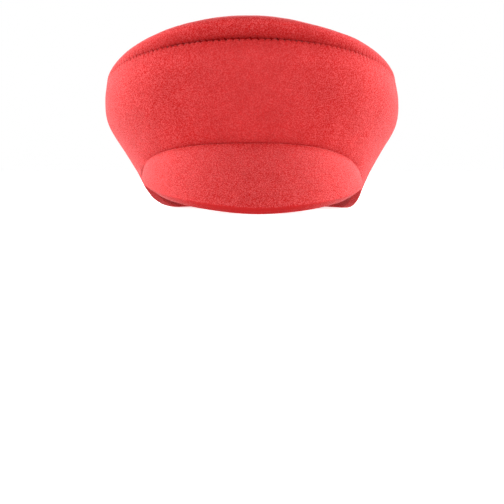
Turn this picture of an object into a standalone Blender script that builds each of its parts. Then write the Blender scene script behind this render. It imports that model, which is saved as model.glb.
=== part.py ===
"""A foam uniform cap: a wall that widens upwards, a puffed top and a short peak.

Metres, +Z up, the cap's front towards -Y. The origin is the middle of the floor under the cap, which rests
on the back of its rim and on the peak's lower front edge.

Each surface is a function of an angle round the cap, 0 at the front and positive towards +X, and of a share
that runs along the piece's section. The outer skin comes first, and the inner skin lies one thickness of foam
behind it.
"""
import math

import bpy
from mathutils import Vector

# Foam and joins
FOAM = 0.0065
SEAM_GAP = 0.0003

# The wall's outer skin at the floor, an oval that would go on under the arched front
BASE_HALF_WIDTH = 0.079
BASE_HALF_LENGTH = 0.095
OVAL_POWER = 2.0

# The seam between the wall and the top, an oval in a plane that falls to the back
SEAM_HALF_WIDTH = 0.1105
SEAM_HALF_LENGTH = 0.1215
SEAM_FORWARD = 0.0085
SEAM_ASIDE = -0.0025
SEAM_HEIGHT = 0.0945
SEAM_FALL_DEG = 13.5

# How far the wall bulges outside the straight line from the floor to the seam
SIDE_BULGE = 0.0113
FRONT_BULGE = 0.0060
BACK_BULGE = 0.0070

# The arch of the rim over the brow, which runs further back on the left
ARCH_HEIGHT = 0.0494
ARCH_END_RIGHT_DEG = 113.0
ARCH_END_LEFT_DEG = 131.0
ARCH_CROWN_POWER = 2.6
ARCH_FOOT_POWER = 2.4

# The top: a roll that stands out over the seam in front, a shoulder and a low dome
FRONT_ROLL = 0.0095
SIDE_ROLL = 0.0076
FRONT_START_DEG = -50.0
SIDE_START_DEG = 0.0
ROLL_END_DEG = 60.0
FRONT_SHOULDER = 0.0060
SIDE_SHOULDER = 0.0075
SHOULDER_WIDTH = 0.0200
DOME_HEIGHT = 0.0240

# The peak
PEAK_SPAN_DEG = 63.0
PEAK_REACH = 0.0570
PEAK_ASIDE = 0.0025
PEAK_END_REACH = 0.0015
PEAK_DROP_LEFT = 0.0095
PEAK_DROP_RIGHT = 0.0065
PEAK_BOW_DEG = 5.0
PEAK_EDGE_POWER = 0.80
PEAK_END_LEAN_DEG = 70.0

# Facets
SECTIONS_ROUND = 80
PEAK_SECTIONS = 24
SHARP_EDGE_DEG = 40.0

# Height share, side bulge and front bulge, as shares of the bulges named above
WALL_SECTION = (
    # share, side, front
    (0.00, 0.00, 0.00),
    (0.25, 0.15, 0.00),
    (0.45, 0.52, 0.10),
    (0.68, 1.00, 0.60),
    (0.87, 0.64, 1.00),
    (1.00, 0.00, 0.00),
)
# Shallow dents in the wall: angle and height share of the middle, depth as a share of the foam, and the
# half-width and half-height as an angle and a height share
WALL_DENTS = (
    # degrees, share, depth, half-width, half-height
    (-27.0, 0.66, 0.22, 15.0, 0.30),
    (22.0, 0.70, 0.30, 14.0, 0.36),
)
# A shallow dent in the top: angle of its middle, depth as a share of the foam, and half-width as an angle
TOP_DENTS = (
    # degrees, depth, half-width
    (25.0, 0.22, 26.0),
)
WALL_ROWS = (0.0, 0.16, 0.33, 0.50, 0.65, 0.78, 0.89, 1.0)
ROLL_STEPS = 5
SHOULDER_STEPS = (0.2, 0.5, 1.0)
DOME_SHARES = (0.72, 0.45, 0.18)
PEAK_ROWS = (0.0, 0.2, 0.4, 0.6, 0.8, 1.0)

# How closely slopes and the peak's resting height are worked out
SLOPE_STEP = 1e-3
RESTING_STEPS = 12

# Finish
CAP_RED = (0.68, 0.045, 0.05, 1.0)
FOAM_ROUGHNESS = 0.9


def radial(angle):
    """The outward direction at an angle round the cap, level with the floor."""
    return Vector((math.sin(angle), -math.cos(angle), 0.0))


def oval(angle, half_width, half_length):
    """How far a rounded oval reaches from its centre at an angle."""
    across = abs(math.sin(angle)) / half_width
    along = abs(math.cos(angle)) / half_length
    return (across ** OVAL_POWER + along ** OVAL_POWER) ** (-1.0 / OVAL_POWER)


def seam_height(y):
    """The height of the seam's plane, which is level from side to side."""
    return SEAM_HEIGHT - math.tan(math.radians(SEAM_FALL_DEG)) * (y + SEAM_FORWARD)


def on_seam_plane(x, y, rise=0.0):
    """The point over (x, y) that lies a rise above the seam's plane."""
    return Vector((x, y, seam_height(y) + rise))


def base_point(angle):
    """The wall's outer skin where it would meet the floor."""
    return radial(angle) * oval(angle, BASE_HALF_WIDTH, BASE_HALF_LENGTH)


def seam_point(angle, inset=0.0):
    """A point of the seam's plane, an inset inside the seam's outer edge."""
    reach = oval(angle, SEAM_HALF_WIDTH, SEAM_HALF_LENGTH) - inset
    flat = radial(angle) * reach
    return on_seam_plane(flat.x + SEAM_ASIDE, flat.y - SEAM_FORWARD)


def smooth_column(share, column):
    """One column of WALL_SECTION at a height share, on a smooth curve through its rows."""
    rows = WALL_SECTION
    share = min(max(share, 0.0), 1.0)
    last = len(rows) - 2
    k = min(max(i for i in range(len(rows)) if rows[i][0] <= share), last)

    def slope(i):
        low = max(i - 1, 0)
        high = min(i + 1, len(rows) - 1)
        return (rows[high][column] - rows[low][column]) / (rows[high][0] - rows[low][0])

    step = rows[k + 1][0] - rows[k][0]
    t = (share - rows[k][0]) / step
    start, end = rows[k][column], rows[k + 1][column]
    return (
        (2 * t ** 3 - 3 * t ** 2 + 1) * start
        + (t ** 3 - 2 * t ** 2 + t) * step * slope(k)
        + (3 * t ** 2 - 2 * t ** 3) * end
        + (t ** 3 - t ** 2) * step * slope(k + 1)
    )


def soft_dent(away):
    """The form of a dent: 1 in its middle and 0 from its edge on, at a distance of 1."""
    return 0.5 + 0.5 * math.cos(math.pi * min(away, 1.0))


def dent_depth(angle, share):
    """How far the dents press the wall in at an angle and a height share."""
    depth = 0.0
    for degrees, middle, deep, half_width, half_height in WALL_DENTS:
        away = math.hypot((math.degrees(angle) - degrees) / half_width, (share - middle) / half_height)
        depth += FOAM * deep * soft_dent(away)
    return depth


def top_dent_depth(angle):
    """How far the dents press the top down at an angle."""
    depth = 0.0
    for degrees, deep, half_width in TOP_DENTS:
        depth += FOAM * deep * soft_dent(abs(math.degrees(angle) - degrees) / half_width)
    return depth


def wall_point(angle, share):
    """The wall's outer skin, from the floor (share 0) to the seam (share 1)."""
    ahead = max(math.cos(angle), 0.0) ** 2
    behind = max(-math.cos(angle), 0.0) ** 2
    side = SIDE_BULGE * (1.0 - ahead - behind) + BACK_BULGE * behind
    bulge = side * smooth_column(share, 1) + FRONT_BULGE * ahead * smooth_column(share, 2)
    straight = base_point(angle).lerp(seam_point(angle), share)
    return straight + radial(angle) * (bulge - dent_depth(angle, share))


def wall_depth(angle, share):
    """How deep the foam is where the wall leans, measured level and towards the middle."""
    step = SLOPE_STEP
    round_cap = wall_point(angle + step, share) - wall_point(angle - step, share)
    upwards = wall_point(angle, min(share + step, 1.0)) - wall_point(angle, max(share - step, 0.0))
    normal = round_cap.cross(upwards).normalized()
    return FOAM / normal.dot(radial(angle))


def rim_height(angle):
    """The height of the wall's lower edge: an arch over the brow, flat at the back."""
    end = ARCH_END_RIGHT_DEG if angle > 0.0 else ARCH_END_LEFT_DEG
    along = min(abs(angle) / math.radians(end), 1.0)
    return ARCH_HEIGHT * (1.0 - along ** ARCH_CROWN_POWER) ** ARCH_FOOT_POWER


def rim_share(angle):
    """The share of the wall's height at which its lower edge lies."""
    return rim_height(angle) / seam_point(angle).z


def add_object(name, points, faces):
    """A named object with its own foam material."""
    mesh = bpy.data.meshes.new(name)
    mesh.from_pydata([tuple(point) for point in points], [], faces)
    mesh.validate()
    mesh.shade_smooth()
    mesh.set_sharp_from_angle(angle=math.radians(SHARP_EDGE_DEG))
    material = bpy.data.materials.new(name + "_foam")
    material.use_nodes = True
    shader = material.node_tree.nodes["Principled BSDF"]
    shader.inputs["Base Color"].default_value = CAP_RED
    shader.inputs["Roughness"].default_value = FOAM_ROUGHNESS
    shader.inputs["Metallic"].default_value = 0.0
    mesh.materials.append(material)
    shape = bpy.data.objects.new(name, mesh)
    bpy.context.collection.objects.link(shape)
    return shape


def angles_round():
    """The angles of the sections round the cap, from the back over the left side."""
    return [2.0 * math.pi * k / SECTIONS_ROUND - math.pi for k in range(SECTIONS_ROUND)]


def ring_faces(loops, closed):
    """Quads between loops of points, the first loop outermost; closed joins the last to the first."""
    count = len(loops[0])
    pairs = len(loops) if closed else len(loops) - 1
    faces = []
    for row in range(pairs):
        upper = (row + 1) % len(loops)
        for k in range(count):
            after = (k + 1) % count
            faces.append((row * count + k, row * count + after, upper * count + after, upper * count + k))
    return faces


def build_wall():
    """The wall: up its outer skin, across the seam's edge and down its inner skin."""
    outer = []
    inner = []
    for row in WALL_ROWS:
        outer_loop = []
        inner_loop = []
        for angle in angles_round():
            start = rim_share(angle)
            share = start + (1.0 - start) * row
            point = wall_point(angle, share)
            inside = point - radial(angle) * wall_depth(angle, share)
            if row == 1.0:
                inside = on_seam_plane(inside.x, inside.y)
            outer_loop.append(point)
            inner_loop.append(inside)
        outer.append(outer_loop)
        inner.append(inner_loop)
    loops = outer + inner[::-1]
    points = [point for loop in loops for point in loop]
    return add_object("crown_wall", points, ring_faces(loops, closed=True))


def front_blend(angle, front, side):
    """A size that has one value in front and another at the sides and the back."""
    ahead = max(math.cos(angle), 0.0) ** 2
    return side + (front - side) * ahead


def top_section(angle, share, depth=0.0):
    """Inset and rise over the seam of a skin some depth inside the top's outer skin.

    Share 0 to 1 runs round the roll and 1 to 2 over the shoulder, which goes on from the roll's end.
    """
    start = math.radians(front_blend(angle, FRONT_START_DEG, SIDE_START_DEG))
    end = math.radians(ROLL_END_DEG)
    radius = front_blend(angle, FRONT_ROLL, SIDE_ROLL)
    turn = start + (end - start) * min(share, 1.0)
    inset = radius * (math.cos(start) - math.cos(turn))
    rise = radius * (math.sin(turn) - math.sin(start))
    if share > 1.0:
        shoulder = front_blend(angle, FRONT_SHOULDER, SIDE_SHOULDER)
        further = SHOULDER_WIDTH * (share - 1.0)
        fading = math.exp(-further / (shoulder * math.tan(end)))
        inset += further
        rise += shoulder * (1.0 - fading)
        turn = math.atan2(math.tan(end), fading)
    rise -= top_dent_depth(angle) * min(share, 1.0)
    return inset + depth * math.cos(turn), rise - depth * math.sin(turn)


def top_point(angle, share, depth=0.0):
    """The top's outer skin, from the seam (share 0) to the shoulder's inner edge (share 2)."""
    inset, rise = top_section(angle, share, depth)
    return seam_point(angle, inset) + Vector((0.0, 0.0, rise + SEAM_GAP))


def dome_point(angle, share):
    """The dome inside the shoulder: share 1 is the shoulder's inner edge and 0 the middle."""
    inset, rise = top_section(angle, 2.0)
    reach = (oval(angle, SEAM_HALF_WIDTH, SEAM_HALF_LENGTH) - inset) * share
    flat = radial(angle) * reach
    height = DOME_HEIGHT + (rise - DOME_HEIGHT) * share * share + SEAM_GAP
    return on_seam_plane(flat.x + SEAM_ASIDE, flat.y - SEAM_FORWARD, height)


def build_top():
    """The top: its edge face on the seam, the roll, the shoulder and the dome, and the same a foam deeper."""
    angles = angles_round()
    outer = []
    inner = []
    roll_shares = [step / ROLL_STEPS for step in range(ROLL_STEPS + 1)]
    for share in roll_shares + [1.0 + step for step in SHOULDER_STEPS]:
        outer.append([top_point(angle, share) for angle in angles])
        if share == 0.0:
            depth = [wall_depth(angle, 1.0) for angle in angles]
            lift = Vector((0.0, 0.0, SEAM_GAP))
            inner.append([seam_point(angle, deep) + lift for angle, deep in zip(angles, depth)])
        else:
            inner.append([top_point(angle, share, FOAM) for angle in angles])
    down = Vector((0.0, 0.0, -FOAM))
    for share in DOME_SHARES:
        loop = [dome_point(angle, share) for angle in angles]
        outer.append(loop)
        inner.append([point + down for point in loop])
    middle = dome_point(0.0, 0.0)
    loops = inner[::-1] + outer
    points = [point for loop in loops for point in loop] + [middle + down, middle]
    faces = ring_faces(loops, closed=False)
    count = len(angles)
    last = (len(loops) - 1) * count
    for k in range(count):
        after = (k + 1) % count
        faces.append((after, k, count * len(loops)))
        faces.append((last + k, last + after, count * len(loops) + 1))
    return add_object("crown_top", points, faces)


def peak_root(angle):
    """Where the peak's upper face meets the wall's lower edge: the outer edge and the inner one."""
    share = rim_share(angle)
    outer = wall_point(angle, share) - Vector((0.0, 0.0, SEAM_GAP))
    return outer, outer - radial(angle) * wall_depth(angle, share)


def peak_tip(turn, front_height):
    """The upper edge of the peak's free edge, on an oval from one end of the peak to the other."""
    end, _ = peak_root(math.copysign(math.radians(PEAK_SPAN_DEG), turn))
    drop = PEAK_DROP_RIGHT if turn > 0.0 else PEAK_DROP_LEFT
    front, _ = peak_root(0.0)
    half_width = abs(end.x) + PEAK_END_REACH
    length = PEAK_REACH + end.y - front.y
    rise = (1.0 - math.cos(turn)) ** PEAK_EDGE_POWER
    height = front_height + (end.z - drop - front_height) * rise
    aside = half_width * math.sin(turn) + PEAK_ASIDE * math.cos(turn)
    return Vector((aside, end.y - length * math.cos(turn), height))


def peak_section(share, front_height):
    """The bent upper face of the peak at a share of its span, as a root, a guide point and a tip."""
    root, inside = peak_root(share * math.radians(PEAK_SPAN_DEG))
    tip = peak_tip(share * math.pi / 2.0, front_height)
    flat = Vector((tip.x - root.x, tip.y - root.y, 0.0))
    out = flat.normalized()
    fall = math.atan2(root.z - tip.z, flat.length)
    edge = fall + math.radians(PEAK_BOW_DEG)
    back = (tip - root).length / 2.0
    guide = tip - out * (back * math.cos(edge)) + Vector((0.0, 0.0, back * math.sin(edge)))
    return inside, root, guide, tip, out


def touching_height():
    """The height of the peak's upper front edge at which its lower edge just touches the floor."""
    height = FOAM
    for _ in range(RESTING_STEPS):
        _, _, guide, tip, out = peak_section(0.0, height)
        along = (tip - guide).normalized()
        height = FOAM * along.dot(out)
    return height


def leaning(normal, share, row):
    """The way through the peak's foam, which leans to the side towards the ends of the free edge."""
    lean = math.radians(PEAK_END_LEAN_DEG) * share * share * row
    side = Vector((math.copysign(1.0, share), 0.0, 0.0))
    return (normal * math.cos(lean) + side * math.sin(lean)).normalized()


def build_peak():
    """The peak: its root under the wall, its upper face, the cut edge and its lower face."""
    front_height = touching_height()
    sections = []
    for k in range(PEAK_SECTIONS + 1):
        share = 2.0 * k / PEAK_SECTIONS - 1.0
        inside, root, guide, tip, out = peak_section(share, front_height)
        under = inside - Vector((0.0, 0.0, FOAM))
        upper = [inside]
        lower = [under]
        for row in PEAK_ROWS:
            point = root.lerp(guide, row).lerp(guide.lerp(tip, row), row)
            along = (guide - root).lerp(tip - guide, row).normalized()
            normal = Vector((0.0, 0.0, along.dot(out))) - out * along.z
            below = point - leaning(normal, share, row) * FOAM
            below.z = min(below.z, under.z)
            upper.append(point)
            lower.append(below)
        sections.append(upper + lower[::-1])
    count = len(sections[0])
    points = [point for section in sections for point in section]
    faces = [tuple(reversed(range(count))), tuple(range(len(points) - count, len(points)))]
    for k in range(PEAK_SECTIONS):
        for j in range(count):
            after = (j + 1) % count
            faces.append((k * count + j, k * count + after, (k + 1) * count + after, (k + 1) * count + j))
    return add_object("peak", points, faces)


def centre_on_origin(shapes):
    """Moves the pieces so that the middle of their box lies over the origin."""
    spots = [vertex.co for shape in shapes for vertex in shape.data.vertices]
    low_x, high_x = min(p.x for p in spots), max(p.x for p in spots)
    low_y, high_y = min(p.y for p in spots), max(p.y for p in spots)
    for shape in shapes:
        shape.location = (-(low_x + high_x) / 2.0, -(low_y + high_y) / 2.0, 0.0)


def main():
    for old in list(bpy.data.objects):
        bpy.data.objects.remove(old, do_unlink=True)
    shapes = [build_wall(), build_top(), build_peak()]
    centre_on_origin(shapes)


main()
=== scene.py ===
"""The looks of a red foam uniform cap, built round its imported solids.

Metres, +Z up, the cap's front towards -Y. Each surface repeats the solids' own functions of an angle round
the cap, 0 at the front and positive towards +X, and of a share along the section, with many more rows and
columns. To them come rounded edges, the sewn groove with its needle holes and thread, and the foam's uneven
skin.
"""
import math

import bpy
import numpy as np
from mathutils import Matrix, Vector, noise


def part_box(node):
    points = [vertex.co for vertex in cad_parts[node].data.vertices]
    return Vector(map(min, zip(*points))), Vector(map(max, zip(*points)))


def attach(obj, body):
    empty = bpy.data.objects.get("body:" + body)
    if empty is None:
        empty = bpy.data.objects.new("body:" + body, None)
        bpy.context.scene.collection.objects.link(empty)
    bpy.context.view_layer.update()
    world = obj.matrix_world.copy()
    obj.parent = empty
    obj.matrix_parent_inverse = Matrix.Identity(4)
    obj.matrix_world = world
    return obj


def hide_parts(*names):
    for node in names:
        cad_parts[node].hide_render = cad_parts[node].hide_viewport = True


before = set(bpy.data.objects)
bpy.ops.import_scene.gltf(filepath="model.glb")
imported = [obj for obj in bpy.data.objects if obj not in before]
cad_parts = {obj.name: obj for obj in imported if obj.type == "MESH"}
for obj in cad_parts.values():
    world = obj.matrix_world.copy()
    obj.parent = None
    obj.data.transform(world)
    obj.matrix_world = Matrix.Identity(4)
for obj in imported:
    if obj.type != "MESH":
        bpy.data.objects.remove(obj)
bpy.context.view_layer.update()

# The solids' own sizes
FOAM = 0.0065
SEAM_GAP = 0.0003
BASE_HALF_WIDTH = 0.079
BASE_HALF_LENGTH = 0.095
SEAM_HALF_WIDTH = 0.1105
SEAM_HALF_LENGTH = 0.1215
SEAM_FORWARD = 0.0085
SEAM_ASIDE = -0.0025
SEAM_HEIGHT = 0.0945
SEAM_FALL_DEG = 13.5
SIDE_BULGE = 0.0113
FRONT_BULGE = 0.0060
BACK_BULGE = 0.0070
ARCH_HEIGHT = 0.0494
ARCH_END_RIGHT_DEG = 113.0
ARCH_END_LEFT_DEG = 131.0
ARCH_CROWN_POWER = 2.6
ARCH_FOOT_POWER = 2.4
FRONT_ROLL = 0.0095
SIDE_ROLL = 0.0076
FRONT_START_DEG = -50.0
SIDE_START_DEG = 0.0
ROLL_END_DEG = 60.0
FRONT_SHOULDER = 0.0060
SIDE_SHOULDER = 0.0075
SHOULDER_WIDTH = 0.0200
DOME_HEIGHT = 0.0240
PEAK_SPAN_DEG = 63.0
PEAK_REACH = 0.0570
PEAK_ASIDE = 0.0025
PEAK_END_REACH = 0.0015
PEAK_DROP_LEFT = 0.0095
PEAK_DROP_RIGHT = 0.0065
PEAK_BOW_DEG = 5.0
PEAK_EDGE_POWER = 0.80
PEAK_END_LEAN_DEG = 70.0
RESTING_STEPS = 12
SLOPE_STEP = 1e-3
WALL_SECTION = np.array((
    # share, side, front
    (0.00, 0.00, 0.00),
    (0.25, 0.15, 0.00),
    (0.45, 0.52, 0.10),
    (0.68, 1.00, 0.60),
    (0.87, 0.64, 1.00),
    (1.00, 0.00, 0.00),
))
WALL_DENTS = (
    # degrees, share, depth, half-width, half-height
    (-27.0, 0.66, 0.22, 15.0, 0.30),
    (22.0, 0.70, 0.30, 14.0, 0.36),
)
TOP_DENTS = (
    # degrees, depth, half-width
    (25.0, 0.22, 26.0),
)
SOLID_COLUMNS = 80
SOLID_ROLL_ROWS = 6

# The shares of the wall's height and of the top's roll over which they are drawn to the seam
WALL_DRAWN_SHARE = 0.11
TOP_DRAWN_SHARE = 0.25

# Rounded edges of the foam, those of the seam in front and at the sides
FRONT_WALL_ROUND = 0.0016
SIDE_WALL_ROUND = 0.00025
FRONT_TOP_ROUND = 0.0026
SIDE_TOP_ROUND = 0.00025
RIM_ROUND = 0.0011
PEAK_EDGE_ROUND = 0.0007
PEAK_EDGE_PUFF = 0.0003

# The pinch where the wall is sewn to the peak
PINCH_DEPTH = 0.0016
PINCH_REACH = 0.0045
PINCH_FULL_DEG = 50.0
PINCH_END_DEG = 66.0
PINCH_CLOSE = 0.0009
ROOT_DIP = 0.0007
ROOT_DIP_REACH = 0.06

# The stitches, and how a sewn seam's unevenness moves them
STITCHES = 164
STITCH_WANDER = (
    # waves round the cap, size in radians of a stitch, start
    (23.0, 0.45, 0.7),
    (41.0, 0.35, 2.1),
)
STITCH_SEARCHES = 6

# The needle holes: how far they widen the seam's edges, and where they show in full
FRONT_WALL_PULL = 0.0017
SIDE_WALL_PULL = 0.0012
FRONT_TOP_PULL = 0.0006
SIDE_TOP_PULL = 0.0007
HOLE_POWER = 4.0
HOLES_FULL_DEG = 32.0
HOLES_FADE_DEG = 34.0
SIDE_HOLES = 0.25
HOLE_SLANT = 0.6
PUCKER = 0.00035
PUCKER_FADE = 0.0032

# The seam's groove fades towards the sides, where the foam stands out over it, and comes back behind them
GROOVE_FULL_LEFT_DEG = 14.0
GROOVE_FULL_RIGHT_DEG = 1.0
GROOVE_FADE_DEG = 26.0
BACK_START_DEG = 98.0
BACK_FADE_DEG = 40.0
BACK_GROOVE = 0.8
SEAM_CLOSE = 0.0002
SIDE_FILL = 0.0013
SIDE_FILL_REACH = 0.0060

# The thread: stitches over the seam, which thin out at their ends, and a dark cord in the groove that
# paints the groove's shade
SHADE_CORD_RADIUS = 0.0012
FRONT_SHADE_CORD_DEPTH = 0.0018
SIDE_SHADE_CORD_DEPTH = 0.0030
THREAD_RADIUS = 0.00045
FRONT_THREAD_SINK = 0.0012
SIDE_THREAD_SINK = 0.0022
THREAD_REACH = 0.0011
THREAD_SIDES = 8
THREAD_RINGS = 7
THREAD_END_FATNESS = 0.02

# The foam's uneven skin
SKIN_WAVES = (
    # wave size, height, place in the noise
    (0.018, 0.00022, 3.7),
    (0.0045, 0.00006, 11.3),
)

# How far the painted shade of the joins spreads over the foam, and how strong its parts are: a dark line
# along the groove, dark spots at the needle holes, a soft fringe on both sides of the seam and a band along
# the peak's seam
LINE_SHADE_REACH = 0.0006
HOLE_SHADE_REACH = 0.0013
SOFT_SHADE_REACH = 0.0055
WALL_SOFT_SHADE = 0.50
TOP_SOFT_SHADE = 0.90
WALL_HOLE_SHADE = 1.0
TOP_HOLE_SHADE = 0.55
SIDE_SHADE = 0.10
PINCH_SHADE_REACH = 0.0028
PAINTED_PINCH_SHADE = 0.30

# How plain the foam's grain is on the top, and on the front of the wall, where it is calmest
TOP_GRAIN = 0.85
FRONT_GRAIN = 0.42
FRONT_CALM_DEG = 24.0

# Columns round the cap: fine ones along the seam, coarse ones inside and on the dome, fewest in its middle
FINE_COLUMNS = STITCHES * 12
COLUMNS = FINE_COLUMNS // 2
COARSE_COLUMNS = COLUMNS // 2
CORE_COLUMNS = COARSE_COLUMNS // 3

# Rows by the seam, of the wall and of the top: round the foam's edge, then shares of a band's width
EDGE_STEPS = 7
SEAM_ROWS = (0.08, 0.18, 0.32, 0.5, 0.72, 1.0)

# Rows of the wall
SEAM_BAND = 0.0085
RIM_STEPS = 4
WALL_ROWS = 31
WALL_ROW_POWER = 1.4
WALL_INNER_ROWS = 15
SEAM_FACE_SHARE = 0.6

# Rows of the top, by shares of the roll, of the shoulder and of the way out from the dome's middle
TOP_BAND_SHARE = 0.5
ROLL_FIRST_SHARE = 0.56
ROLL_ROWS = 9
SHOULDER_ROWS = 12
SHOULDER_ROW_POWER = 1.3
DOME_ROWS = (0.93, 0.84, 0.74, 0.63)
CORE_ROWS = (0.52, 0.4, 0.27, 0.13)
INNER_ROLL_FIRST_SHARE = 0.15
INNER_ROLL_ROWS = 8
INNER_SHOULDER_ROWS = 7
INNER_DOME_ROWS = (0.84, 0.63)
INNER_CORE_ROWS = (0.4, 0.13)

# Columns and rows of the peak
PEAK_COLUMNS = 240
PEAK_ROWS = 36
PEAK_ROW_POWER = 1.25
PEAK_EDGE_STEPS = 5
PEAK_EDGE_ROWS = (0.3, 0.5, 0.7)
PEAK_LOWER_ROWS = 18
PEAK_LOWER_FIRST_SHARE = 0.96

# How much the look of a cut face fades for each radian round the rim's rounded edges
CUT_FADE = 0.6

# Colours of the foam; the clouds are multiplied in all over, and a painted shade where pieces are joined
FOAM_DARK = (0.60, 0.008, 0.008, 1.0)
FOAM_LIGHT = (0.80, 0.100, 0.102, 1.0)
FOAM_PORE = (0.545, 0.006, 0.006, 1.0)
FOAM_MEAN = (0.68, 0.046, 0.047, 1.0)
FOAM_CUT = (0.62, 0.018, 0.019, 1.0)
# Painted shade: the colour multiplied in at the seam's groove, its needle holes and the peak's seam
PAINTED_JOIN_SHADE = (0.50, 0.0, 0.0, 1.0)
CLOUD_DARK = (0.97, 0.95, 0.95, 1.0)
CLOUD_LIGHT = (1.03, 1.05, 1.05, 1.0)
SHEEN_TINT = (1.0, 0.60, 0.62, 1.0)

# The foam's textures: repeats a metre, and the range of each one's values that is used
GRAIN_SCALE = 1250.0
GRAIN_RANGE = (0.34, 0.66)
GRAIN_ROUGH_RANGE = (0.3, 0.7)
ROUGHNESS_RANGE = (0.82, 0.96)
PORE_SCALE = 1500.0
PORE_RANGE = (0.10, 0.60)
CLOUD_SCALE = 75.0
CLOUD_RANGE = (0.3, 0.7)
BUMP_HEIGHT = 0.00040
BUMP_STRENGTH = 0.6

# The thread's colours, darkened so that they also paint the groove's shade, and its twist
THREAD_DARK = (0.17, 0.0, 0.0, 1.0)
THREAD_LIGHT = (0.27, 0.001, 0.002, 1.0)
TWIST_SCALE = 2600.0
TWIST_RANGE = (0.35, 0.65)

# The floor
FLOOR_RADIUS = 8.0
FLOOR_SIDES = 96
FLOOR_DARK = (0.90, 0.90, 0.90, 1.0)
FLOOR_LIGHT = (0.92, 0.92, 0.92, 1.0)
FLOOR_GLOW = 0.78
WHITE = (1.0, 1.0, 1.0, 1.0)

# Light: the lamps, and a surround whose strength changes over two ranges of height
SURROUND_BELOW = 0.85
SURROUND_ABOVE = 0.20
BELOW_RANGE = (-0.30, -0.02)
ABOVE_RANGE = (0.12, 0.40)
LIGHT_AIM = (0.0, 0.0, 0.08)
LIGHTS = (
    # name, place, side length, watts
    ("front_light", (0.0, -2.0, 1.15), 1.4, 29.0),
    ("back_light", (0.0, 1.9, 0.8), 1.4, 9.0),
    ("left_light", (-1.4, 0.65, 0.3), 1.2, 58.0),
    ("right_light", (1.4, 0.65, 0.3), 1.2, 58.0),
)

# Camera
CAMERA_PLACE = (0.0, -1.2855, 0.0345)
CAMERA_TILT_DEG = 87.0
CAMERA_LENS = 119.07
SENSOR = 36.0


def radial(angle):
    """The outward direction at an angle round the cap, level with the floor."""
    return np.stack([np.sin(angle), -np.cos(angle), np.zeros_like(angle)], axis=-1)


def oval(angle, half_width, half_length):
    """How far an oval reaches from its centre at an angle."""
    return 1.0 / np.hypot(np.sin(angle) / half_width, np.cos(angle) / half_length)


def seam_height(y):
    """The height of the seam's plane, which is level from side to side."""
    return SEAM_HEIGHT - math.tan(math.radians(SEAM_FALL_DEG)) * (y + SEAM_FORWARD)


def over_seam(angle, reach, rise=0.0):
    """The point a reach out from the seam oval's centre that lies a rise above the seam's plane."""
    flat = radial(angle) * reach[:, None]
    x = flat[:, 0] + SEAM_ASIDE
    y = flat[:, 1] - SEAM_FORWARD
    return np.stack([x, y, seam_height(y) + rise], axis=-1)


def seam_point(angle, inset=0.0, rise=0.0):
    """A point an inset inside the seam's outer edge and a rise above its plane."""
    return over_seam(angle, oval(angle, SEAM_HALF_WIDTH, SEAM_HALF_LENGTH) - inset, rise)


def smooth_column(share, column):
    """One column of WALL_SECTION at a height share, on a smooth curve through its rows."""
    rows = WALL_SECTION[:, 0]
    values = WALL_SECTION[:, column]
    share = np.clip(share, 0.0, 1.0)
    low = np.maximum(np.arange(len(rows)) - 1, 0)
    high = np.minimum(np.arange(len(rows)) + 1, len(rows) - 1)
    slopes = (values[high] - values[low]) / (rows[high] - rows[low])
    k = np.clip(np.searchsorted(rows, share, side="right") - 1, 0, len(rows) - 2)
    step = rows[k + 1] - rows[k]
    t = (share - rows[k]) / step
    return (
        (2 * t ** 3 - 3 * t ** 2 + 1) * values[k]
        + (t ** 3 - 2 * t ** 2 + t) * step * slopes[k]
        + (3 * t ** 2 - 2 * t ** 3) * values[k + 1]
        + (t ** 3 - t ** 2) * step * slopes[k + 1]
    )


def soft_dent(away):
    """The form of a dent: 1 in its middle and 0 from its edge on, at a distance of 1."""
    return 0.5 + 0.5 * np.cos(np.pi * np.minimum(away, 1.0))


def dent_depth(angle, share):
    """How far the dents press the wall in."""
    depth = np.zeros_like(angle)
    for degrees, middle, deep, half_width, half_height in WALL_DENTS:
        away = np.hypot((np.degrees(angle) - degrees) / half_width, (share - middle) / half_height)
        depth += FOAM * deep * soft_dent(away)
    return depth


def top_dent_depth(angle):
    """How far the dents press the top down."""
    depth = np.zeros_like(angle)
    for degrees, deep, half_width in TOP_DENTS:
        depth += FOAM * deep * soft_dent(np.abs(np.degrees(angle) - degrees) / half_width)
    return depth


def wall_point(angle, share):
    """The wall's outer skin, from the floor (share 0) to the seam (share 1)."""
    front = np.maximum(np.cos(angle), 0.0) ** 2
    back = np.maximum(-np.cos(angle), 0.0) ** 2
    side = SIDE_BULGE * (1.0 - front - back) + BACK_BULGE * back
    bulge = side * smooth_column(share, 1) + FRONT_BULGE * front * smooth_column(share, 2)
    base = radial(angle) * oval(angle, BASE_HALF_WIDTH, BASE_HALF_LENGTH)[:, None]
    straight = base + (seam_point(angle) - base) * share[:, None]
    return straight + radial(angle) * (bulge - dent_depth(angle, share))[:, None]


def wall_depth(angle, share):
    """How deep the foam is where the wall leans, measured level and towards the middle."""
    step = SLOPE_STEP
    round_cap = wall_point(angle + step, share) - wall_point(angle - step, share)
    upwards = wall_point(angle, np.minimum(share + step, 1.0)) - wall_point(angle, share - step)
    normal = np.cross(round_cap, upwards)
    normal /= np.linalg.norm(normal, axis=1)[:, None]
    return FOAM / (normal * radial(angle)).sum(1)


def rim_height(angle):
    """The height of the wall's lower edge: an arch over the brow, flat at the back."""
    end = np.radians(np.where(angle > 0.0, ARCH_END_RIGHT_DEG, ARCH_END_LEFT_DEG))
    along = np.minimum(np.abs(angle) / end, 1.0)
    return ARCH_HEIGHT * (1.0 - along ** ARCH_CROWN_POWER) ** ARCH_FOOT_POWER


def pinch(angle, above):
    """How far the seam with the peak pulls the wall in, at a height above the wall's lower edge."""
    span = (PINCH_END_DEG - np.abs(np.degrees(angle))) / (PINCH_END_DEG - PINCH_FULL_DEG)
    span = np.clip(span, 0.0, 1.0)
    return PINCH_DEPTH * span * span * (3.0 - 2.0 * span) * np.exp(-above / PINCH_REACH)


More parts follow.
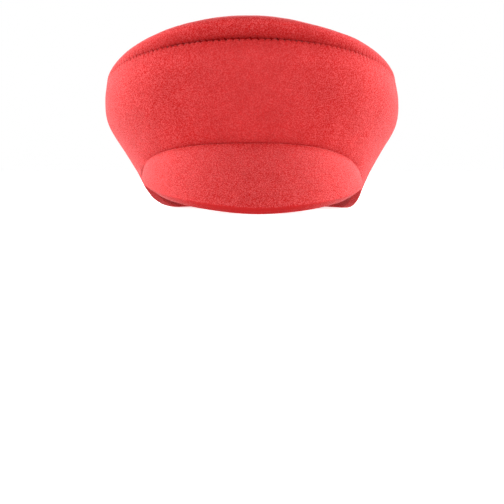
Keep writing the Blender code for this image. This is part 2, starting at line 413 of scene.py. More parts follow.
def side_fill(angle, away):
    """How far the foam stands out over the seam at the sides, where no groove shows."""
    aside = 1.0 - np.maximum(np.cos(angle), 0.0) - behind(angle)
    return SIDE_FILL * aside * np.exp(-(away / SIDE_FILL_REACH) ** 2)


def wall_skin(angle, above_rim, below_seam, row, depth):
    """A point of the wall at a row between its rim (0) and its seam (1), some depth inside the outer skin.

    above_rim and below_seam hold back both ends of the rows by a length, for the rounded edges.
    """
    height = seam_point(angle)[:, 2]
    start = (rim_height(angle) + above_rim) / height
    end = 1.0 - below_seam / height
    share = start + (end - start) * row
    outer = wall_point(angle, share)
    point = outer - radial(angle) * (wall_depth(angle, share) * depth / FOAM)[:, None]
    above = share * height - rim_height(angle)
    moved = side_fill(angle, height - share * height) - pinch(angle, above)
    point += radial(angle) * (moved * (1.0 - depth / FOAM))[:, None]
    from_rim = above / (height - rim_height(angle))
    near_seam = np.clip((from_rim - (1.0 - WALL_DRAWN_SHARE)) / WALL_DRAWN_SHARE, 0.0, 1.0)
    point[:, 2] += near_seam * (seam_height(point[:, 1]) - seam_height(outer[:, 1]))
    return point


def front_blend(angle, front, side):
    """A size that has one value in front and another at the sides and the back."""
    return side + (front - side) * np.maximum(np.cos(angle), 0.0) ** 2


def fade_out(angle, full, fade):
    """1 up to an angle from the front, in degrees, and 0 from a fade further on."""
    share = np.clip(1.0 - (np.abs(np.degrees(angle)) - full) / fade, 0.0, 1.0)
    return share * share * (3.0 - 2.0 * share)


def behind(angle):
    """0 up to a little behind the sides and 1 at the back."""
    return 1.0 - fade_out(angle, BACK_START_DEG, BACK_FADE_DEG)


def seam_blend(angle, front, side):
    """A size of the seam with one value in front, another at the sides and one between at the back."""
    full = np.where(angle > 0.0, GROOVE_FULL_RIGHT_DEG, GROOVE_FULL_LEFT_DEG)
    share = fade_out(angle, full, GROOVE_FADE_DEG) + BACK_GROOVE * behind(angle)
    return side + (front - side) * share


def roll_length(angle):
    """The length of the top's roll from the seam to its end."""
    start = np.radians(front_blend(angle, FRONT_START_DEG, SIDE_START_DEG))
    return front_blend(angle, FRONT_ROLL, SIDE_ROLL) * (math.radians(ROLL_END_DEG) - start)


def top_section(angle, share, depth):
    """Inset and rise over the seam of a skin some depth inside the top's outer skin."""
    start = np.radians(front_blend(angle, FRONT_START_DEG, SIDE_START_DEG))
    end = math.radians(ROLL_END_DEG)
    radius = front_blend(angle, FRONT_ROLL, SIDE_ROLL)
    turn = start + (end - start) * np.minimum(share, 1.0)
    inset = radius * (np.cos(start) - np.cos(turn))
    rise = radius * (np.sin(turn) - np.sin(start))
    shoulder = front_blend(angle, FRONT_SHOULDER, SIDE_SHOULDER)
    further = SHOULDER_WIDTH * np.maximum(share - 1.0, 0.0)
    fading = np.exp(-further / (shoulder * math.tan(end)))
    inset = inset + further
    rise = rise + shoulder * (1.0 - fading)
    turn = np.where(share > 1.0, np.arctan2(math.tan(end), fading), turn)
    rise = rise - top_dent_depth(angle) * np.minimum(share, 1.0)
    return inset + depth * np.cos(turn), rise - depth * np.sin(turn)


def top_skin(angle, share, depth=0.0, level_inset=0.0):
    """The top from the seam (share 0), where it is drawn down, to the shoulder's inner edge (share 2)."""
    inset, rise = top_section(angle, share, depth)
    drawn = (SEAM_GAP + SEAM_CLOSE) * np.clip(1.0 - share / TOP_DRAWN_SHARE, 0.0, 1.0)
    fill = side_fill(angle, share * roll_length(angle)) * (1.0 - depth / FOAM)
    return seam_point(angle, inset + level_inset - fill, rise + SEAM_GAP - drawn)


def dome_skin(angle, share, depth=0.0):
    """The dome inside the shoulder: share 1 is the shoulder's inner edge and 0 the middle."""
    inset, rise = top_section(angle, np.full_like(angle, 2.0), 0.0)
    reach = (oval(angle, SEAM_HALF_WIDTH, SEAM_HALF_LENGTH) - inset) * share
    height = DOME_HEIGHT + (rise - DOME_HEIGHT) * share * share + SEAM_GAP - depth
    return over_seam(angle, reach, height)


def stitch_phase(angle):
    """The phase of the stitches at an angle: a needle hole lies at each full turn."""
    phase = STITCHES * angle
    for waves, size, start in STITCH_WANDER:
        phase = phase + size * np.sin(waves * angle + start)
    return phase


def hole_shape(angle, slant):
    """1 at a needle hole and 0 halfway between two."""
    return (0.5 + 0.5 * np.cos(stitch_phase(angle) + slant)) ** HOLE_POWER


def holes_shown(angle):
    """How plain the needle holes are: in full in front and at the back, and fainter at the sides."""
    shown = fade_out(angle, HOLES_FULL_DEG, HOLES_FADE_DEG) + behind(angle)
    return SIDE_HOLES + (1.0 - SIDE_HOLES) * shown


def seam_round(angle, slant, front, side, front_pull, side_pull):
    """The radius of a sewn edge, larger at each needle hole."""
    pull = seam_blend(angle, front_pull, side_pull) * holes_shown(angle)
    return seam_blend(angle, front, side) + pull * hole_shape(angle, slant)


def wall_edge_round(angle):
    """The radius of the wall's outer edge at the seam."""
    return seam_round(angle, -HOLE_SLANT, FRONT_WALL_ROUND, SIDE_WALL_ROUND,
                      FRONT_WALL_PULL, SIDE_WALL_PULL)


def top_edge_round(angle):
    """The radius of the top's outer edge at the seam."""
    return seam_round(angle, HOLE_SLANT, FRONT_TOP_ROUND, SIDE_TOP_ROUND,
                      FRONT_TOP_PULL, SIDE_TOP_PULL)


def puckered(point, angle, slant, away):
    """Points pulled in towards the middle at the needle holes, less with distance from the seam."""
    pull = PUCKER * hole_shape(angle, slant) * np.exp(-away / PUCKER_FADE)
    return point - radial(angle) * pull[:, None]


def painted_seam_shade(angle, away, slant, soft, hole_strength):
    """How much painted shade the seam puts on the foam some way from it: a line, the needle holes and a
    soft fringe.
    """
    ahead = np.maximum(np.cos(angle), 0.0)
    line = np.exp(-(away / LINE_SHADE_REACH) ** 2)
    holes = hole_strength * hole_shape(angle, slant) * np.exp(-(away / HOLE_SHADE_REACH) ** 2)
    fringe = soft * ahead * ahead * np.exp(-away / SOFT_SHADE_REACH)
    line = line * seam_blend(angle, 1.0, SIDE_SHADE)
    holes = holes * holes_shown(angle)
    return np.maximum(line, holes) * (1.0 - fringe) + fringe


def angles(count):
    """Evenly spaced angles all round the cap, from the back over one side to the front and on."""
    return np.arange(count) * (2.0 * np.pi / count) - np.pi


def cap_shift():
    """From the functions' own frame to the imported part's: the middle of the top's box in both."""
    coarse = angles(SOLID_COLUMNS)
    shares = np.linspace(0.0, 1.0, SOLID_ROLL_ROWS)
    spots = np.concatenate([top_skin(coarse, np.full_like(coarse, share)) for share in shares])
    own_middle = (spots.min(0) + spots.max(0)) / 2.0
    low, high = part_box("crown_top")
    x = (low[0] + high[0]) / 2.0 - own_middle[0]
    y = (low[1] + high[1]) / 2.0 - own_middle[1]
    return np.array([x, y, 0.0])


SHIFT = cap_shift()


def uneven(points, outward):
    """Moves points along their outward directions by layers of smooth noise, but not into the floor."""
    moved = points.copy()
    for size, height, offset in SKIN_WAVES:
        wave = [noise.noise(Vector(point) / size + Vector((offset, 0.0, 0.0))) for point in points]
        moved += outward * (height * np.array(wave))[:, None]
    moved[:, 2] = np.maximum(moved[:, 2], 0.0)
    return moved


def ring_faces(loops, closed):
    """Faces between loops of points whose counts are equal or differ by a factor of two."""
    starts = np.concatenate([[0], np.cumsum([len(loop) for loop in loops])])
    faces = []
    for row in range(len(loops) if closed else len(loops) - 1):
        upper = (row + 1) % len(loops)
        low_count = len(loops[row])
        high_count = len(loops[upper])
        low = starts[row]
        high = starts[upper]
        k = np.arange(min(low_count, high_count))
        after = (k + 1) % len(k)
        if low_count == high_count:
            faces += np.stack([low + k, low + after, high + after, high + k], axis=1).tolist()
        elif low_count == 2 * high_count:
            after_two = (2 * k + 2) % low_count
            faces += np.stack([low + 2 * k, low + 2 * k + 1, high + k], axis=1).tolist()
            faces += np.stack([low + 2 * k + 1, low + after_two, high + after, high + k], axis=1).tolist()
        else:
            after_two = (2 * k + 2) % high_count
            faces += np.stack([low + k, high + 2 * k + 1, high + 2 * k], axis=1).tolist()
            faces += np.stack([low + k, low + after, high + after_two, high + 2 * k + 1], axis=1).tolist()
    return faces


def add_mesh(name, points, faces, material, **layers):
    """A smooth-shaded object; each layer is a named number at every point, which the material reads."""
    mesh = bpy.data.meshes.new(name)
    mesh.from_pydata(points.tolist(), [], faces)
    mesh.shade_smooth()
    mesh.materials.append(material)
    for layer_name, values in layers.items():
        layer = mesh.attributes.new(layer_name, "FLOAT", "POINT")
        layer.data.foreach_set("value", np.asarray(values, dtype=np.float32))
    shape = bpy.data.objects.new(name, mesh)
    bpy.context.collection.objects.link(shape)
    return shape


def outward_of(points, faces):
    """The outward direction at each point."""
    mesh = bpy.data.meshes.new("scratch")
    mesh.from_pydata(points.tolist(), [], faces)
    normals = np.empty(len(points) * 3, dtype=np.float32)
    mesh.vertices.foreach_get("normal", normals)
    bpy.data.meshes.remove(mesh)
    return normals.reshape(-1, 3).astype(float)


def build_wall(material):
    """The wall: up its outer skin, over the sewn edge, down its inner skin and round the cut rim."""
    loops = []
    cuts = []
    shades = []

    def add(count, above_rim, below_seam, row, depth, cut=0.0, sewn=False):
        """Adds a loop of the wall with its look of a cut face and its painted shade."""
        angle = angles(count)
        point = wall_skin(angle, above_rim, below_seam, np.full_like(angle, row), depth)
        loops.append(puckered(point, angle, -HOLE_SLANT, below_seam) if sewn else point)
        cuts.append(np.full(count, cut))
        # Painted shade: a band over the peak's seam and, on loops by the sewn edge, the seam's line, holes
        # and fringe
        above = point[:, 2] - rim_height(angle)
        shade = PAINTED_PINCH_SHADE * pinch(angle, 0.0) / PINCH_DEPTH * np.exp(-above / PINCH_SHADE_REACH)
        if sewn:
            shade = shade + painted_seam_shade(angle, below_seam, -HOLE_SLANT, WALL_SOFT_SHADE, WALL_HOLE_SHADE)
        shades.append(shade)

    quarter = np.linspace(0.0, math.pi / 2.0, RIM_STEPS)
    for turn in quarter:
        add(COLUMNS, RIM_ROUND * (1.0 - math.cos(turn)), SEAM_BAND, 0.0,
            RIM_ROUND * (1.0 - math.sin(turn)), cut=1.0 - CUT_FADE * turn)
    for row in np.linspace(0.0, 1.0, WALL_ROWS)[1:-1] ** WALL_ROW_POWER:
        add(COLUMNS, RIM_ROUND, SEAM_BAND, row, 0.0)
    edge = wall_edge_round(angles(FINE_COLUMNS))
    for share in reversed(SEAM_ROWS):
        add(FINE_COLUMNS, RIM_ROUND, edge + (SEAM_BAND - edge) * share, 1.0, 0.0, sewn=True)
    for turn in np.linspace(0.0, math.pi / 2.0, EDGE_STEPS):
        add(FINE_COLUMNS, RIM_ROUND, edge * (1.0 - math.sin(turn)), 1.0, edge * (1.0 - math.cos(turn)),
            sewn=True)
    add(COLUMNS, RIM_ROUND, 0.0, 1.0, SEAM_FACE_SHARE * FOAM)
    add(COARSE_COLUMNS, RIM_ROUND, 0.0, 1.0, FOAM)
    for row in np.linspace(1.0, 0.0, WALL_INNER_ROWS)[1:]:
        add(COARSE_COLUMNS, RIM_ROUND, 0.0, row, FOAM)
    for turn in quarter[1:]:
        add(COLUMNS, RIM_ROUND * (1.0 - math.sin(turn)), SEAM_BAND, 0.0,
            FOAM - RIM_ROUND * (1.0 - math.cos(turn)), cut=CUT_FADE * turn)
    add(COLUMNS, 0.0, SEAM_BAND, 0.0, FOAM / 2.0, cut=1.0)
    faces = ring_faces(loops, closed=True)
    points = np.concatenate(loops)
    points = uneven(points, outward_of(points, faces))
    aside = np.degrees(np.arctan2(np.abs(points[:, 0]), -points[:, 1])) / FRONT_CALM_DEG
    calm = (1.0 - FRONT_GRAIN) * np.exp(-aside ** 2)
    return add_mesh("wall_foam", points + SHIFT, faces, material, cut_edge=np.concatenate(cuts),
                    shade=np.concatenate(shades), grain=1.0 - calm)


def roll_shares(first, roll_rows, shoulder_rows, power):
    """Shares of the top's section, from one on the roll to the shoulder's inner edge."""
    shoulder = np.linspace(0.0, 1.0, shoulder_rows)[1:] ** power
    return np.concatenate([np.linspace(first, 1.0, roll_rows), 1.0 + shoulder])


def top_loops():
    """The top's loops: its edge on the seam, the roll, the shoulder and the dome, and the inner skin."""
    fine = angles(FINE_COLUMNS)
    edge = top_edge_round(fine)
    outer = []
    shades = []
    # The loops by the seam carry painted shade: the groove's line, the needle holes and a soft fringe under
    # the roll
    for turn in np.linspace(math.pi / 2.0, 0.0, EDGE_STEPS):
        away = edge * (1.0 - math.sin(turn))
        point = top_skin(fine, away / roll_length(fine), level_inset=edge * (1.0 - math.cos(turn)))
        outer.append(puckered(point, fine, HOLE_SLANT, away))
        shades.append(painted_seam_shade(fine, away, HOLE_SLANT, TOP_SOFT_SHADE, TOP_HOLE_SHADE))
    edge_share = edge / roll_length(fine)
    for row in SEAM_ROWS:
        share = edge_share + (TOP_BAND_SHARE - edge_share) * row
        away = share * roll_length(fine)
        outer.append(puckered(top_skin(fine, share), fine, HOLE_SLANT, away))
        shades.append(painted_seam_shade(fine, away, HOLE_SLANT, TOP_SOFT_SHADE, TOP_HOLE_SHADE))
    middle = angles(COLUMNS)
    for share in roll_shares(ROLL_FIRST_SHARE, ROLL_ROWS, SHOULDER_ROWS, SHOULDER_ROW_POWER):
        outer.append(top_skin(middle, np.full_like(middle, share)))
        shades.append(np.zeros_like(middle))
    coarse = angles(COARSE_COLUMNS)
    for share in DOME_ROWS:
        outer.append(dome_skin(coarse, share))
    small = angles(CORE_COLUMNS)
    core = [dome_skin(small, share) for share in CORE_ROWS]
    inner = [seam_point(coarse, wall_depth(coarse, np.ones_like(coarse)), -SEAM_CLOSE)]
    for share in roll_shares(INNER_ROLL_FIRST_SHARE, INNER_ROLL_ROWS, INNER_SHOULDER_ROWS, power=1.0):
        inner.append(top_skin(coarse, np.full_like(coarse, share), FOAM))
    for share in INNER_DOME_ROWS:
        inner.append(dome_skin(coarse, share, FOAM))
    inner_core = [dome_skin(small, share, FOAM) for share in INNER_CORE_ROWS]
    return outer, np.concatenate(shades), core, inner, inner_core


def build_top(material):
    """The top, its loops joined to one closed mesh."""
    outer, outer_shade, core, inner, inner_core = top_loops()
    loops = inner[::-1] + [outer[0][::2]] + outer
    faces = ring_faces(loops, closed=False)
    points = np.concatenate(loops)
    first_outer = sum(len(loop) for loop in inner) + len(outer[0]) // 2
    faces, points = close_pole(faces, points, len(points) - len(outer[-1]), core, upwards=True)
    faces, points = close_pole(faces, points, 0, inner_core, upwards=False)
    points = uneven(points, outward_of(points, faces))
    # Painted shade lies only on the outer loops by the seam
    shade = np.zeros(len(points))
    shade[first_outer:first_outer + len(outer_shade)] = outer_shade
    return add_mesh("top_foam", points + SHIFT, faces, material, cut_edge=np.zeros(len(points)),
                    shade=shade, grain=np.full(len(points), TOP_GRAIN))


def close_pole(faces, points, start, core, upwards):
    """Closes a mesh over the dome's middle; start is the first point of the coarse loop round it."""
    count = COARSE_COLUMNS
    third = CORE_COLUMNS
    first = len(points)
    pole = first + len(core) * third
    points = np.concatenate([points] + core + [core[-1].mean(0)[None]])
    new = []
    for k in range(third):
        after = (k + 1) % third
        a, b, c, d = (start + (3 * k + i) % count for i in range(4))
        new.append((a, b, first + k))
        new.append((b, c, first + after, first + k))
        new.append((c, d, first + after))
    for row in range(len(core) - 1):
        low = first + row * third
        for k in range(third):
            after = (k + 1) % third
            new.append((low + k, low + after, low + third + after, low + third + k))
    for k in range(third):
        new.append((pole - third + k, pole - third + (k + 1) % third, pole))
    if not upwards:
        new = [face[::-1] for face in new]
    return faces + new, points


def peak_root(angle):
    """Where the peak's upper face meets the wall's lower edge: the outer edge and the inner one."""
    share = rim_height(angle) / seam_point(angle)[:, 2]
    outer = wall_point(angle, share)
    outer[:, 2] -= SEAM_GAP
    return outer, outer - radial(angle) * wall_depth(angle, share)[:, None]


def peak_tip(turn, front_height):
    """The upper edge of the peak's free edge, on an oval from one end of the peak to the other."""
    end, _ = peak_root(np.where(turn > 0.0, 1.0, -1.0) * math.radians(PEAK_SPAN_DEG))
    front, _ = peak_root(np.zeros_like(turn))
    drop = np.where(turn > 0.0, PEAK_DROP_RIGHT, PEAK_DROP_LEFT)
    half_width = np.abs(end[:, 0]) + PEAK_END_REACH
    length = PEAK_REACH + end[:, 1] - front[:, 1]
    rise = (1.0 - np.cos(turn)) ** PEAK_EDGE_POWER
    height = front_height + (end[:, 2] - drop - front_height) * rise
    aside = half_width * np.sin(turn) + PEAK_ASIDE * np.cos(turn)
    return np.stack([aside, end[:, 1] - length * np.cos(turn), height], axis=-1)


def peak_section(share, front_height):
    """The peak's bent upper face at shares of its span: inner roots, roots, guides, tips and directions."""
    root, inside = peak_root(share * math.radians(PEAK_SPAN_DEG))
    tip = peak_tip(share * math.pi / 2.0, front_height)
    flat = (tip - root) * np.array([1.0, 1.0, 0.0])
    length = np.linalg.norm(flat, axis=1)
    out = flat / length[:, None]
    fall = np.arctan2(root[:, 2] - tip[:, 2], length)
    edge = fall + math.radians(PEAK_BOW_DEG)
    back = np.linalg.norm(tip - root, axis=1) / 2.0
    guide = tip - out * (back * np.cos(edge))[:, None]
    guide[:, 2] += back * np.sin(edge)
    return inside, root, guide, tip, out


def touching_height():
    """The height of the peak's upper front edge at which its lower edge just touches the floor."""
    height = FOAM
    for _ in range(RESTING_STEPS):
        _, _, guide, tip, out = peak_section(np.zeros(1), height)
        along = (tip - guide)[0] / np.linalg.norm(tip - guide)
        height = FOAM * float(along @ out[0])
    return height


def build_peak(material):
    """The peak: its root under the wall, its upper face, the cut edge and its lower face."""
    share = np.linspace(-1.0, 1.0, PEAK_COLUMNS + 1)
    inside, root, guide, tip, out = peak_section(share, touching_height())
    inside[:, 2] += PINCH_CLOSE
    reach = np.linalg.norm(tip - root, axis=1)
    side = np.stack([np.sign(share), np.zeros_like(share), np.zeros_like(share)], axis=1)
    rows = []
    cuts = []
    shades = []

    def add(point, cut, shade):
        """Adds a row of the peak, from one end to the other, with its look of a cut face and its painted
        shade.
        """
        rows.append(point)
        cuts.append(np.full_like(share, cut))
        shades.append(np.full_like(share, shade))

    def face(row, depth, beyond=0.0):
        """A row some share of the way out, some depth below the upper face and some length beyond it."""
        raised = (PINCH_CLOSE - ROOT_DIP * row / ROOT_DIP_REACH) * np.exp(-row / ROOT_DIP_REACH)
        raised = raised * (1.0 - depth / FOAM)
        point = root + (guide - root) * row
        point = point + (guide + (tip - guide) * row - point) * row
        along = (guide - root) + ((tip - guide) - (guide - root)) * row
        along /= np.linalg.norm(along, axis=1)[:, None]
        normal = -out * along[:, 2:3]
        normal[:, 2] += (along * out).sum(1)
        lean = np.radians(PEAK_END_LEAN_DEG) * (share * share)[:, None] * row
        through = normal * np.cos(lean) + side * np.sin(lean)
        through /= np.linalg.norm(through, axis=1)[:, None]
        return point + along * beyond + normal * raised - through * depth

    rounding = PEAK_EDGE_ROUND
    last = (1.0 - rounding / reach)[:, None]
    # Painted shade along the peak's root, fading out away from the wall's seam
    add(inside, 0.0, PAINTED_PINCH_SHADE)
    add((inside + face(0.0, 0.0)) / 2.0, 0.0, PAINTED_PINCH_SHADE)
    for row in np.linspace(0.0, 1.0, PEAK_ROWS)[:-1] ** PEAK_ROW_POWER:
        add(face(row * last, 0.0), 0.0, PAINTED_PINCH_SHADE * math.exp(-row * PEAK_REACH / PINCH_SHADE_REACH))
    for turn in np.linspace(0.0, math.pi / 2.0, PEAK_EDGE_STEPS):
        add(face(last, rounding * (1.0 - math.cos(turn)), rounding * math.sin(turn)),
            turn / (math.pi / 2.0), 0.0)
    for down in PEAK_EDGE_ROWS:
        puff = PEAK_EDGE_PUFF * math.sin(math.pi * down)
        add(face(last, rounding + (FOAM - 2.0 * rounding) * down, rounding + puff), 1.0, 0.0)
    for turn in np.linspace(math.pi / 2.0, 0.0, PEAK_EDGE_STEPS):
        add(face(last, FOAM - rounding * (1.0 - math.cos(turn)), rounding * math.sin(turn)),
            turn / (math.pi / 2.0), 0.0)
    first_below = len(rows)
    for row in np.linspace(PEAK_LOWER_FIRST_SHARE, 0.0, PEAK_LOWER_ROWS):
        add(face(row * last, FOAM), 0.0, 0.0)
    under = inside - np.array([0.0, 0.0, FOAM + PINCH_CLOSE])
    add(under, 0.0, 0.0)
    grid = np.stack(rows, axis=1)
    grid[:, first_below:, 2] = np.minimum(grid[:, first_below:, 2], under[:, 2:3])
    count = grid.shape[1]
    points = grid.reshape(-1, 3)
    j = np.arange(count)
    after = (j + 1) % count
    faces = []
    for k in range(PEAK_COLUMNS):
        low = k * count
        faces += np.stack([low + j, low + after, low + count + after, low + count + j], axis=1).tolist()
    faces.append(list(range(count))[::-1])
    faces.append(list(range(len(points) - count, len(points))))
    points = uneven(points, outward_of(points, faces))
    return add_mesh("peak_foam", points + SHIFT, faces, material,
                    cut_edge=np.stack(cuts, axis=1).ravel(), shade=np.stack(shades, axis=1).ravel(),
                    grain=np.ones(len(points)))


def thread_tube(points, faces, centres, sides, outs, radii, closed):
    """Adds a tube of thread along centres, its rings turned by a side and an outward direction each."""
    first = len(points)
    ring = np.linspace(0.0, 2.0 * np.pi, THREAD_SIDES, endpoint=False)
    for centre, side, out, radius in zip(centres, sides, outs, radii):
        points += [centre + radius * (side * math.cos(turn) + out * math.sin(turn)) for turn in ring]
    rings = len(centres)
    for row in range(rings if closed else rings - 1):
        low = first + row * THREAD_SIDES
        high = first + (row + 1) % rings * THREAD_SIDES
        for k in range(THREAD_SIDES):
            after = (k + 1) % THREAD_SIDES
            faces.append((low + after, low + k, high + k, high + after))
    if not closed:
        last = first + (rings - 1) * THREAD_SIDES
        faces.append(tuple(range(first, first + THREAD_SIDES)))
        faces.append(tuple(reversed(range(last, last + THREAD_SIDES))))


def build_thread_and_shade_cord(material):
    """The thread: a dark cord in the groove, which paints the groove's shade, and short slanted stitches
    over it, joined to one mesh.
    """
    points = []
    faces = []
    # A dark cord in the groove: painted shade of the groove's depth
    round_cap = angles(COLUMNS)
    depth = seam_blend(round_cap, FRONT_SHADE_CORD_DEPTH, SIDE_SHADE_CORD_DEPTH)
    centres = seam_point(round_cap, depth)
    outs = radial(round_cap)
    up = np.tile([0.0, 0.0, 1.0], (COLUMNS, 1))
    thread_tube(points, faces, centres, up, outs, np.full(COLUMNS, SHADE_CORD_RADIUS), closed=True)
    middle = 2.0 * np.pi * (np.arange(STITCHES) + 0.5) / STITCHES - np.pi
    for _ in range(STITCH_SEARCHES):
        miss = (stitch_phase(middle) + np.pi) % (2.0 * np.pi) - np.pi
        middle = middle - miss / STITCHES
    spread = HOLE_SLANT / STITCHES
    sink = seam_blend(middle, FRONT_THREAD_SINK, SIDE_THREAD_SINK)
    low = wall_skin(middle + spread, RIM_ROUND, THREAD_REACH, np.ones_like(middle), sink)
    high = top_skin(middle - spread, THREAD_REACH / roll_length(middle), sink)
    share = np.linspace(0.0, 1.0, THREAD_RINGS)
    fat = THREAD_RADIUS * np.sqrt(np.maximum(1.0 - (2.0 * share - 1.0) ** 4, THREAD_END_FATNESS))
    for start, end, out in zip(low, high, radial(middle)):
        along = (end - start) / np.linalg.norm(end - start)
        side = np.cross(along, out)
        side /= np.linalg.norm(side)
        centres = start + (end - start) * share[:, None]
        sides = np.tile(side, (THREAD_RINGS, 1))
        outs = np.tile(np.cross(side, along), (THREAD_RINGS, 1))
        thread_tube(points, faces, centres, sides, outs, fat, closed=False)
    return add_mesh("seam_thread_and_shade_cord", np.array(points) + SHIFT, faces, material)


def new_material(name):
    """A material with its nodes, its links and its shader."""
    material = bpy.data.materials.new(name)
    material.use_nodes = True
    nodes = material.node_tree.nodes
    return material, nodes, material.node_tree.links, nodes["Principled BSDF"]


def mix_colour(nodes, links, factor, first, second, blend="MIX"):
    """A colour mix node whose inputs are sockets or plain colours; returns its output."""
    node = nodes.new("ShaderNodeMix")
    node.data_type = "RGBA"
    node.blend_type = blend
    for socket, value in ((node.inputs[0], factor), (node.inputs[6], first), (node.inputs[7], second)):
        if hasattr(value, "is_output"):
            links.new(value, socket)
        else:
            socket.default_value = value
    return node.outputs[2]


def ramp(nodes, links, value, low, high, out_low=0.0, out_high=1.0):
    """Maps a value from one range to another, smoothly and clamped."""
    node = nodes.new("ShaderNodeMapRange")
    node.interpolation_type = "SMOOTHSTEP"
    for name, number in (("From Min", low), ("From Max", high), ("To Min", out_low), ("To Max", out_high)):
        node.inputs[name].default_value = number
    links.new(value, node.inputs["Value"])
    return node.outputs["Result"]


def noise_node(nodes, links, place, scale, detail):
    """Smooth noise over the object's own space."""
    node = nodes.new("ShaderNodeTexNoise")
    links.new(place, node.inputs["Vector"])
    node.inputs["Scale"].default_value = scale
    node.inputs["Detail"].default_value = detail
    return node.outputs["Fac"]


def point_layer(nodes, name):
    """A named number that a mesh has at every point."""
    node = nodes.new("ShaderNodeAttribute")
    node.attribute_name = name
    return node.outputs["Fac"]


def foam_material():
    """Open-cell foam: a mottled red with small dark pores, with painted shade in its joins, and darker on
    its cut edges.
    """
    material, nodes, links, shader = new_material("red_foam")
    place = nodes.new("ShaderNodeTexCoord").outputs["Object"]
    grain = noise_node(nodes, links, place, GRAIN_SCALE, detail=0.0)
    cloud = noise_node(nodes, links, place, CLOUD_SCALE, detail=3.0)
    cells = nodes.new("ShaderNodeTexVoronoi")
    links.new(place, cells.inputs["Vector"])
    cells.inputs["Scale"].default_value = PORE_SCALE
    pores = ramp(nodes, links, cells.outputs["Distance"], *PORE_RANGE)
    body = mix_colour(nodes, links, ramp(nodes, links, grain, *GRAIN_RANGE), FOAM_DARK, FOAM_LIGHT)
    pored = mix_colour(nodes, links, pores, FOAM_PORE, body)
    calmed = mix_colour(nodes, links, point_layer(nodes, "grain"), FOAM_MEAN, pored)
    clouded = mix_colour(nodes, links, ramp(nodes, links, cloud, *CLOUD_RANGE), CLOUD_DARK, CLOUD_LIGHT)
    mottled = mix_colour(nodes, links, 1.0, calmed, clouded, "MULTIPLY")
    edge = mix_colour(nodes, links, point_layer(nodes, "cut_edge"), mottled, FOAM_CUT)
    # Painted shade multiplied into the colour at the seam's groove, its needle holes and the peak's seam
    shaded = mix_colour(nodes, links, point_layer(nodes, "shade"), edge, PAINTED_JOIN_SHADE, "MULTIPLY")
    links.new(shaded, shader.inputs["Base Color"])
    rough = ramp(nodes, links, grain, *GRAIN_ROUGH_RANGE, *ROUGHNESS_RANGE)
    links.new(rough, shader.inputs["Roughness"])
    shader.inputs["Sheen Weight"].default_value = 0.42
    shader.inputs["Sheen Roughness"].default_value = 0.28
    shader.inputs["Sheen Tint"].default_value = SHEEN_TINT
    shader.inputs["Specular IOR Level"].default_value = 0.08
    height = nodes.new("ShaderNodeMath")
    height.operation = "ADD"
    links.new(grain, height.inputs[0])
    links.new(pores, height.inputs[1])
    bump = nodes.new("ShaderNodeBump")
    bump.inputs["Distance"].default_value = BUMP_HEIGHT
    bump.inputs["Strength"].default_value = BUMP_STRENGTH
    links.new(height.outputs[0], bump.inputs["Height"])
    links.new(bump.outputs["Normal"], shader.inputs["Normal"])
    return material


def thread_and_shade_cord_material():
    """Matt red sewing thread with its twist, dark enough to paint the groove's shade as well."""
    material, nodes, links, shader = new_material("red_thread_and_painted_shade")
    place = nodes.new("ShaderNodeTexCoord").outputs["Object"]
    twist = noise_node(nodes, links, place, TWIST_SCALE, detail=2.0)
    colour = mix_colour(nodes, links, ramp(nodes, links, twist, *TWIST_RANGE), THREAD_DARK, THREAD_LIGHT)
    links.new(colour, shader.inputs["Base Color"])
    shader.inputs["Roughness"].default_value = 0.75
    shader.inputs["Specular IOR Level"].default_value = 0.05
    return material


def floor_material():
    """A plain white floor."""
    material, nodes, links, shader = new_material("white_floor")
    place = nodes.new("ShaderNodeTexCoord").outputs["Object"]
    faint = noise_node(nodes, links, place, scale=3.0, detail=1.0)
    links.new(mix_colour(nodes, links, faint, FLOOR_DARK, FLOOR_LIGHT), shader.inputs["Base Color"])
    shader.inputs["Roughness"].default_value = 0.9
    shader.inputs["Emission Color"].default_value = WHITE
    shader.inputs["Emission Strength"].default_value = FLOOR_GLOW
    return material


def build_floor(material):
    """A wide round floor with its upper face at height 0."""
    rim = radial(angles(FLOOR_SIDES)) * FLOOR_RADIUS
    points = np.concatenate([rim, np.zeros((1, 3))])
    faces = [(k, (k + 1) % FLOOR_SIDES, FLOOR_SIDES) for k in range(FLOOR_SIDES)]
    floor = add_mesh("floor", points, faces, material)
    floor.visible_diffuse = False


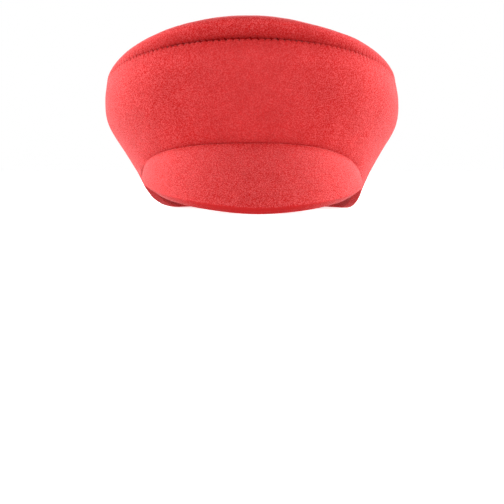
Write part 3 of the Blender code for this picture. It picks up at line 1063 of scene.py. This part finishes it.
def add_light(name, place, size, power):
    """A square soft light that faces the cap."""
    light = bpy.data.lights.new(name, "AREA")
    light.shape = "SQUARE"
    light.size = size
    light.energy = power
    holder = bpy.data.objects.new(name, light)
    holder.location = place
    holder.rotation_euler = (Vector(LIGHT_AIM) - Vector(place)).to_track_quat("-Z", "Y").to_euler()
    bpy.context.collection.objects.link(holder)


def build_world():
    """A surround that is white at eye level and dimmer above and below."""
    world = bpy.data.worlds.new("white_surround")
    world.use_nodes = True
    bpy.context.scene.world = world
    nodes = world.node_tree.nodes
    links = world.node_tree.links
    background = nodes["Background"]
    direction = nodes.new("ShaderNodeTexCoord").outputs["Generated"]
    split = nodes.new("ShaderNodeSeparateXYZ")
    links.new(direction, split.inputs[0])
    below = ramp(nodes, links, split.outputs["Z"], *BELOW_RANGE, SURROUND_BELOW, 1.0)
    above = ramp(nodes, links, split.outputs["Z"], *ABOVE_RANGE, 1.0, SURROUND_ABOVE)
    both = nodes.new("ShaderNodeMath")
    both.operation = "MULTIPLY"
    links.new(below, both.inputs[0])
    links.new(above, both.inputs[1])
    links.new(both.outputs[0], background.inputs["Strength"])
    background.inputs["Color"].default_value = WHITE


def build_camera():
    """The photograph's view: nearly level, a little above the floor and tilted slightly down."""
    lens = bpy.data.cameras.new("camera")
    lens.lens = CAMERA_LENS
    lens.sensor_width = SENSOR
    lens.clip_start = 0.05
    lens.clip_end = 100.0
    holder = bpy.data.objects.new("camera", lens)
    holder.location = CAMERA_PLACE
    holder.rotation_euler = (math.radians(CAMERA_TILT_DEG), 0.0, 0.0)
    bpy.context.collection.objects.link(holder)
    bpy.context.scene.camera = holder


def main():
    """Builds the cap's pieces, the floor, the light and the camera."""
    foam = foam_material()
    thread = thread_and_shade_cord_material()
    pieces = (
        (build_wall(foam), "foam", "crown_wall"),
        (build_top(foam), "foam", "crown_top"),
        (build_peak(foam), "foam", "peak"),
    )
    for piece, slot, node in pieces:
        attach(piece, "root")
        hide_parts(node)
    stitches = build_thread_and_shade_cord(thread)
    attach(stitches, "root")
    build_floor(floor_material())
    build_world()
    for name, place, size, power in LIGHTS:
        add_light(name, place, size, power)
    build_camera()
    bpy.context.scene.view_settings.view_transform = "Standard"


main()
